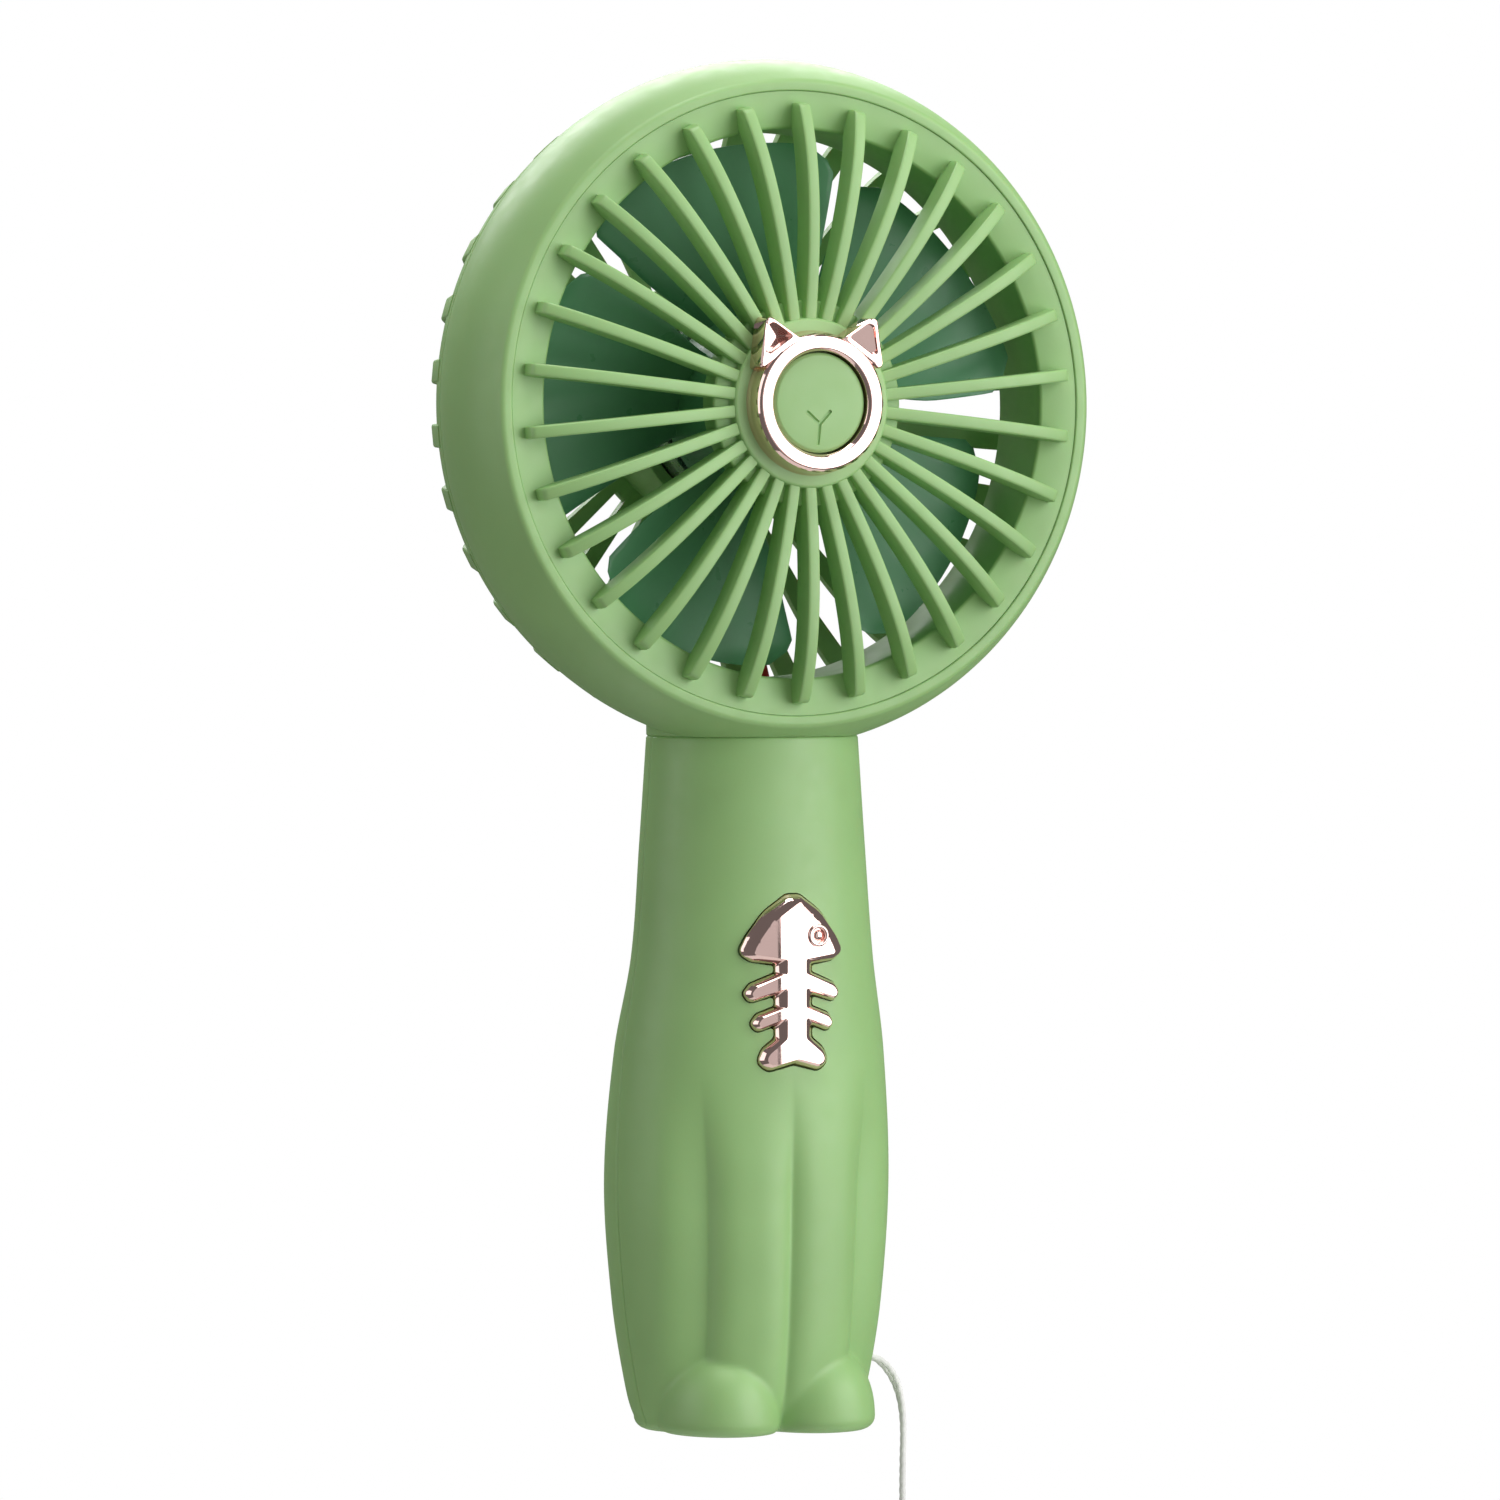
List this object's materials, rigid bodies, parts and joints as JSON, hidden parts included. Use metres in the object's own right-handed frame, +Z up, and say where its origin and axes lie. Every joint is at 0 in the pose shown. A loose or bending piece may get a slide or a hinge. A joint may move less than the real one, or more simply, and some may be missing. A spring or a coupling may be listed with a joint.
{
  "type": "handheld electric fan",
  "caption": "Slim handheld fan: round caged head with spinning blades on an oval grip with moulded legs, press-in fish button, charging socket and hanging wrist loop.",
  "frame": {"origin": "on the handle's axis in the middle of the grip, 43 mm above the sole", "axes": "+Z up the handle to the fan head, the fan blows towards -Y, +X to the fan's left as it faces the user, on the strap's side"},
  "size_m": [0.0902, 0.0379, 0.2751],
  "materials": {
    "green_plastic": "moulded sage-green ABS, fine satin texture",
    "rose_gold": "mirror-bright rose-gold plating on ABS",
    "impeller_plastic": "moulded green plastic, slightly glossy",
    "steel": "bright zinc-plated steel",
    "bronze": "sintered bronze and tinned brass",
    "black_plastic": "black moulded nylon",
    "magnet": "dull ferrite",
    "copper": "enamelled copper",
    "board": "green solder mask on glass-fibre board",
    "ceramic_tan": "tan chip capacitors",
    "cell_wrap": "plain blue shrink wrap, no text",
    "foam": "closed-cell foam tape",
    "red_insulation": "red silicone insulation",
    "black_insulation": "black silicone insulation",
    "white_cord": "white braided polyester cord",
    "white_plastic": "white moulded plastic"
  },
  "bodies": {
    "root": {"handle_front": "green_plastic", "handle_rear": "green_plastic", "head_shell": "green_plastic", "front_grille": "green_plastic", "cat_ring": "rose_gold", "cap_disc": "green_plastic", "rear_cover": "green_plastic", "motor_can": "steel", "front_bush": "bronze", "rear_bush": "bronze", "motor_end_cap": "black_plastic", "motor_magnets": "magnet", "motor_brushes": "copper", "motor_terminals": "bronze", "motor_screws": "steel", "switch_case": "steel", "circuit_board": "board", "control_chip": "black_plastic", "charge_coil": "black_plastic", "board_capacitors": "ceramic_tan", "usb_socket": "steel", "usb_tongue": "black_plastic", "battery_cell": "cell_wrap", "battery_pad": "foam", "motor_lead_red": "red_insulation", "motor_lead_black": "black_insulation", "battery_lead_red": "red_insulation", "battery_lead_black": "black_insulation", "handle_screws": "steel", "strap_pin": "steel", "strap_strand_near": "white_cord", "strap_strand_far": "white_cord", "strap_crimp": "white_plastic", "wrist_cord": "white_cord"},
    "rotor": {"impeller": "impeller_plastic", "motor_shaft": "steel", "armature_core": "steel", "armature_windings": "copper", "commutator": "copper"},
    "button": {"fish_button": "rose_gold"},
    "plunger": {"switch_plunger": "black_plastic"}
  },
  "joints": [
    {"name": "rotor_spin", "type": "hinge", "parent": "root", "child": "rotor", "pos_m": [0, 0, 0.0845], "axis": [0, -1, 0], "continuous": true},
    {"name": "button_press", "type": "slide", "parent": "root", "child": "button", "axis": [0, 1, 0], "range_m": [0, 0.0005], "stiffness_N_per_m": 1500},
    {"name": "plunger_press", "type": "slide", "parent": "root", "child": "plunger", "axis": [0, 1, 0], "range_m": [0, 0.0005]}
  ],
  "couplings": [
    {"joint": "plunger_press", "follows": "button_press", "ratio": 1}
  ]
}
